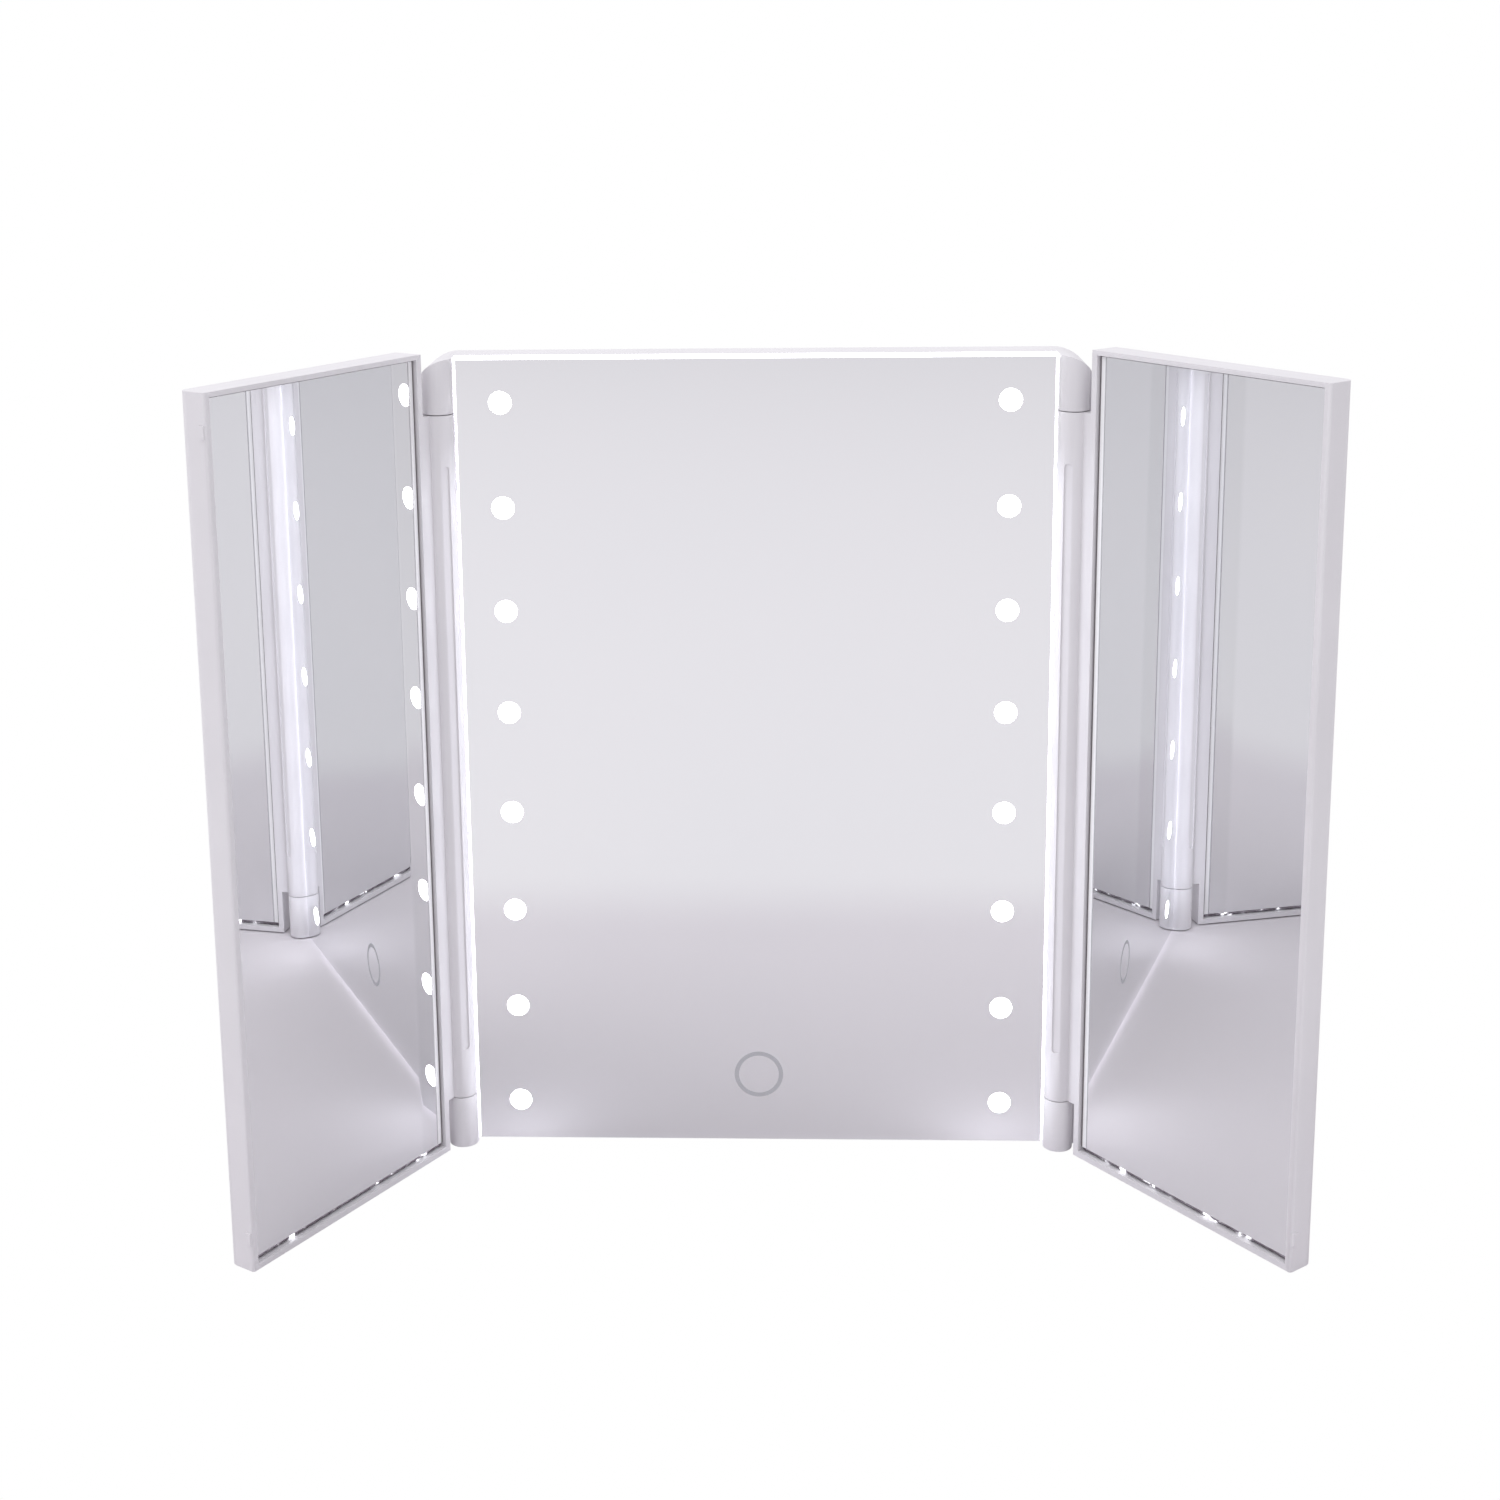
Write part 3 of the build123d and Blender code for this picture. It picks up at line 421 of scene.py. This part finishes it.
# --- softened moulded edges -----------------------------------------------------------------
def soften(name, width):
    """Round a node's sharp edges without touching its mesh."""
    piece = frame["nodes"][name]
    weld = piece.modifiers.new("weld", "WELD")
    weld.merge_threshold = WELD_DISTANCE
    rounding = piece.modifiers.new("rounding", "BEVEL")
    rounding.width = width
    rounding.segments = EDGE_SEGMENTS
    rounding.limit_method = "ANGLE"
    rounding.angle_limit = EDGE_ANGLE
    rounding.harden_normals = True


for piece_name in ("front_frame", "rear_cover", "battery_door"):
    soften(piece_name, HOUSING_EDGE)
for wing_side in SIGN:
    soften(f"{wing_side}_wing_frame", WING_EDGE)


# --- dark bead under each wing glass: painted shade and painted glints ----------------------
def gap_shade_bead(side, material):
    """Uneven dark bead in the gap between a wing glass's bottom edge and its tray: painted shade
    with painted glints.
    """
    out, facing = wing_directions(side)
    up = Vector((0.0, 0.0, 1.0))
    corners = [v.co for v in frame["nodes"][f"{side}_wing_glass"].data.vertices]
    bottom = min(c.z for c in corners)
    start = min(c.dot(out) for c in corners) + BEAD_END_GAP
    stop = max(c.dot(out) for c in corners) - BEAD_END_GAP
    depth = max(c.dot(facing) for c in corners) - BEAD_DEPTH
    shape = bmesh.new()
    rings = []
    for step in range(BEAD_STEPS + 1):
        reach = start + (stop - start) * step / BEAD_STEPS
        thick = BEAD_RADIUS * random.uniform(BEAD_THINNEST, 1.0)
        height = bottom - BEAD_DROP + random.uniform(-BEAD_WANDER, BEAD_WANDER)
        middle = out * reach + facing * depth + up * height
        turns = [2 * math.pi * k / BEAD_SIDES for k in range(BEAD_SIDES)]
        rings.append([
            shape.verts.new(middle + thick * (facing * math.cos(turn) + up * math.sin(turn)))
            for turn in turns
        ])
    for near, far in zip(rings, rings[1:]):
        for k in range(BEAD_SIDES):
            m = (k + 1) % BEAD_SIDES
            shape.faces.new((near[k], near[m], far[m], far[k]))
    shape.faces.new(reversed(rings[0]))
    shape.faces.new(rings[-1])
    bmesh.ops.recalc_face_normals(shape, faces=shape.faces)
    for face in shape.faces:
        face.smooth = True
    mesh = bpy.data.meshes.new(f"{side}_gap_shade_bead")
    shape.to_mesh(mesh)
    shape.free()
    mesh.materials.append(material)
    piece = bpy.data.objects.new(f"{side}_gap_shade_bead", mesh)
    bpy.context.scene.collection.objects.link(piece)
    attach(piece, f"{side}_wing")


# each dark bead carries painted shade and painted glints into the gap below its wing glass
random.seed(BEAD_SEED)
painted_gap_shade_and_glints = painted_gap_bead_material()
for wing_side in SIGN:
    gap_shade_bead(wing_side, painted_gap_shade_and_glints)


# --- floor, surroundings and lights ---------------------------------------------------------
def camera_switch(tree, seen, lit, output_socket):
    """What the camera sees directly against what lights and mirrors receive."""
    path = tree.nodes.new("ShaderNodeLightPath")
    mix = tree.nodes.new("ShaderNodeMixShader")
    tree.links.new(path.outputs["Is Camera Ray"], mix.inputs["Fac"])
    tree.links.new(lit, mix.inputs[1])
    tree.links.new(seen, mix.inputs[2])
    tree.links.new(mix.outputs[0], output_socket)


def near_mask(material, coordinate, edge):
    """1 inside the edge, 0 outside it, with a soft step between."""
    low, high = edge - NEAR_EDGE_SOFTNESS, edge + NEAR_EDGE_SOFTNESS
    return span(material, coordinate, 1.0, 0.0, low, high, "SMOOTHSTEP")


def floor_material():
    """Pale table, darker in a patch round the mirror and brighter beyond it."""
    material = bpy.data.materials.new("floor_paper")
    material.use_nodes = True
    tree = material.node_tree
    tree.nodes.clear()
    axes = axes_of(material, "Object")
    sideways = near_mask(material, arithmetic(material, "ABSOLUTE", axes["X"]), NEAR_HALF_WIDTH)
    forwards = near_mask(material, arithmetic(material, "MULTIPLY", axes["Y"], -1.0), NEAR_FRONT)
    near = arithmetic(material, "MULTIPLY", sideways, forwards)
    paper = tree.nodes.new("ShaderNodeBsdfDiffuse")
    feed(material, paper.inputs["Color"], mixed(material, near, FLOOR_FAR, FLOOR_NEAR, "RGBA"))
    white = tree.nodes.new("ShaderNodeEmission")
    white.inputs["Color"].default_value = BACKDROP_WHITE
    output = tree.nodes.new("ShaderNodeOutputMaterial")
    camera_switch(tree, white.outputs[0], paper.outputs[0], output.inputs["Surface"])
    return material


def build_floor():
    mesh = bpy.data.meshes.new("floor")
    shape = bmesh.new()
    bmesh.ops.create_grid(shape, x_segments=1, y_segments=1, size=FLOOR_SIZE / 2)
    shape.to_mesh(mesh)
    shape.free()
    floor = bpy.data.objects.new("floor", mesh)
    floor.location = (0, 0, -FLOOR_GAP)
    floor.data.materials.append(floor_material())
    bpy.context.scene.collection.objects.link(floor)


def build_world():
    world = bpy.data.worlds.new("studio")
    world.use_nodes = True
    tree = world.node_tree
    tree.nodes.clear()
    white = tree.nodes.new("ShaderNodeBackground")
    white.inputs["Color"].default_value = BACKDROP_WHITE
    ambient = tree.nodes.new("ShaderNodeBackground")
    ambient.inputs["Color"].default_value = AMBIENT_COLOUR
    sides = axes_of(world, "Generated")["X"]
    strength = span(world, sides, AMBIENT_LEFT, AMBIENT_RIGHT, -1.0, 1.0)
    feed(world, ambient.inputs["Strength"], strength)
    output = tree.nodes.new("ShaderNodeOutputWorld")
    camera_switch(tree, white.outputs[0], ambient.outputs[0], output.inputs["Surface"])
    bpy.context.scene.world = world


def area_light(name, place, aim, size, power, colour=(1.0, 1.0, 1.0), shown=True):
    """Soft rectangular light at a place, turned to its aim."""
    data = bpy.data.lights.new(name, "AREA")
    data.shape = "RECTANGLE"
    data.size, data.size_y = size
    data.energy = power
    data.color = colour
    lamp = bpy.data.objects.new(name, data)
    lamp.location = place
    lamp.rotation_euler = (aim - place).to_track_quat("-Z", "X").to_euler()
    lamp.visible_camera = lamp.visible_glossy = shown
    bpy.context.scene.collection.objects.link(lamp)


def mirrored(point, sign):
    """A right-hand point, moved to the side of the sign."""
    return Vector((sign * point.x, point.y, point.z))


def build_lights():
    area_light("top_light", TOP_LIGHT_PLACE, TOP_LIGHT_AIM, TOP_LIGHT_SIZE, TOP_LIGHT_POWER)
    for side, sign in SIGN.items():
        for name, place, aim, size, power in (
            ("spill", SPILL_PLACE, SPILL_AIM, SPILL_SIZE, SPILL_POWER),
            ("pool", POOL_PLACE, POOL_AIM, POOL_SIZE, POOL_POWER),
        ):
            place, aim = mirrored(place, sign), mirrored(aim, sign)
            area_light(f"{side}_{name}", place, aim, size, power, SPILL_COLOUR, shown=False)


def build_camera():
    data = bpy.data.cameras.new("camera")
    data.lens = CAMERA_LENS
    data.sensor_width = CAMERA_SENSOR
    data.shift_x, data.shift_y = CAMERA_SHIFT
    camera = bpy.data.objects.new("camera", data)
    turn = (
        Matrix.Rotation(-CAMERA_YAW, 4, "Z")
        @ Matrix.Rotation(math.pi / 2 - CAMERA_PITCH, 4, "X")
        @ Matrix.Rotation(CAMERA_ROLL, 4, "Z")
    )
    camera.matrix_world = Matrix.Translation(CAMERA_PLACE) @ turn
    bpy.context.scene.collection.objects.link(camera)
    bpy.context.scene.camera = camera


build_floor()
build_world()
build_lights()
build_camera()
bpy.context.scene.view_settings.view_transform = "Standard"
